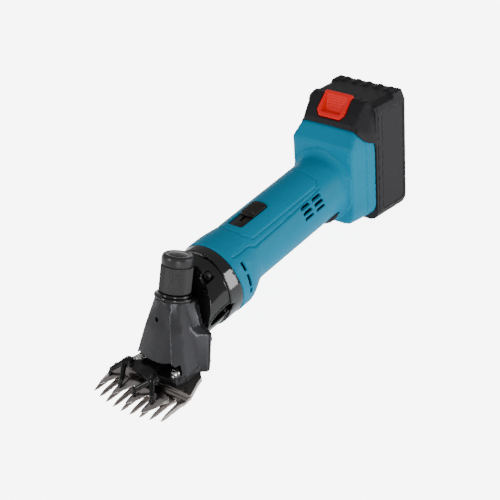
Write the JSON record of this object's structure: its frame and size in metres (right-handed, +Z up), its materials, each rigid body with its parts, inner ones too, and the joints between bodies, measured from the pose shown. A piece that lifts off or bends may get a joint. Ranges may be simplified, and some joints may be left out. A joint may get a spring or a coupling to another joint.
{
  "type": "sheep shears",
  "caption": "Cordless sheep shears: round motor barrel, gear case, shearing head with comb and swinging cutter, tension knob, slide switch and slide-on battery.",
  "frame": {"origin": "centre of the whole tool's footprint, on the surface it rests on", "axes": "+Y along the barrel, from the comb back to the battery; +Z up; +X to the tool's left"},
  "size_m": [0.084, 0.3689, 0.1252],
  "materials": {
    "blue_plastic": "fine textured moulded nylon",
    "black_plastic": "fine textured moulded nylon",
    "gloss_black": "smooth gloss",
    "red_plastic": "satin moulded",
    "gunmetal": "satin cast aluminium, dark coated",
    "knob_steel": "knurled, black oxide",
    "ground_steel": "ground and hardened",
    "bright_steel": "bright",
    "fork_black": "gloss black forging",
    "copper": "wound copper",
    "brass": "machined",
    "board_green": "circuit board",
    "cell_blue": "shrink sleeve",
    "carbon": "carbon"
  },
  "bodies": {
    "housing": {"housing_left": "blue_plastic", "housing_right": "blue_plastic", "housing_screws": "bright_steel", "gear_case": "gloss_black", "gear_case_screws": "bright_steel", "bearing_plate": "black_plastic", "crank_bearing_front": "bright_steel", "crank_bearing_rear": "bright_steel", "motor_can": "bright_steel", "motor_magnets": "carbon", "motor_end_cap": "black_plastic", "motor_bearing_front": "bright_steel", "motor_bearing_rear": "brass", "motor_brushes": "carbon", "switch_plate": "black_plastic", "switch_body": "black_plastic", "control_board": "board_green", "speed_potentiometer": "black_plastic", "tool_terminal_block": "black_plastic", "tool_terminals": "brass", "battery_rails": "black_plastic", "head_body": "gunmetal", "head_screws": "bright_steel", "tension_collar": "gloss_black", "fulcrum_post": "bright_steel", "comb": "ground_steel", "comb_screws": "bright_steel"},
    "rotor": {"motor_shaft": "bright_steel", "motor_armature": "copper", "motor_commutator": "copper", "cooling_fan": "black_plastic", "pinion": "bright_steel"},
    "crank": {"drive_gear": "bright_steel", "crank_shaft": "bright_steel"},
    "roller": {"crank_roller": "bright_steel"},
    "fork": {"fork_yoke": "fork_black", "fork_foot_left": "fork_black", "fork_foot_right": "fork_black", "cutter": "ground_steel"},
    "tension_pin": {"tension_pin": "bright_steel"},
    "tension_knob": {"tension_knob": "knob_steel", "knob_cap": "knob_steel", "tension_bolt": "bright_steel"},
    "switch": {"switch_slider": "black_plastic", "switch_rod": "black_plastic"},
    "speed_dial": {"speed_dial": "black_plastic"},
    "battery": {"battery_case": "black_plastic", "battery_cover": "black_plastic", "battery_cells": "cell_blue"},
    "release_button": {"release_button": "red_plastic"}
  },
  "joints": [
    {"name": "rotor_spin", "type": "hinge", "parent": "housing", "child": "rotor", "pos_m": [0, -0.05645, 0.0527], "axis": [0, 1, 0], "continuous": true},
    {"name": "crank_spin", "type": "hinge", "parent": "housing", "child": "crank", "pos_m": [0, -0.05645, 0.0362], "axis": [0, 1, 0], "continuous": true},
    {"name": "roller_spin", "type": "hinge", "parent": "crank", "child": "roller", "pos_m": [0.00637, -0.07645, 0.0362], "axis": [0, 1, 0], "continuous": true},
    {"name": "fork_swing", "type": "hinge", "parent": "housing", "child": "fork", "pos_m": [0, -0.11645, 0.0077], "axis": [0, 0, 1], "range_deg": [0, 18.32]},
    {"name": "tension_turn", "type": "hinge", "parent": "tension_pin", "child": "tension_knob", "pos_m": [0, -0.10185, 0.0601], "axis": [0, 0.4147, 0.91], "range_deg": [0, 720]},
    {"name": "tension_slide", "type": "slide", "parent": "housing", "child": "tension_pin", "axis": [0, 0.4147, 0.91], "range_m": [0, 0.0025]},
    {"name": "switch_slide", "type": "slide", "parent": "housing", "child": "switch", "axis": [0, -1, 0], "range_m": [0, 0.013]},
    {"name": "dial_turn", "type": "hinge", "parent": "housing", "child": "speed_dial", "pos_m": [0.01112, 0.08055, 0.03945], "axis": [0.766, 0, 0.6428], "range_deg": [0, 270]},
    {"name": "battery_slide", "type": "slide", "parent": "housing", "child": "battery", "axis": [0, 0.1564, 0.9877], "range_m": [0, 0.085]},
    {"name": "button_press", "type": "slide", "parent": "battery", "child": "release_button", "axis": [0, 0.5878, -0.809], "range_m": [0, 0.003], "stiffness_N_per_m": 400, "springref_m": -0.001}
  ],
  "couplings": [
    {"joint": "crank_spin", "follows": "rotor_spin", "ratio": -0.29412},
    {"joint": "tension_turn", "follows": "tension_slide", "rad_per_m": 5026.5}
  ]
}
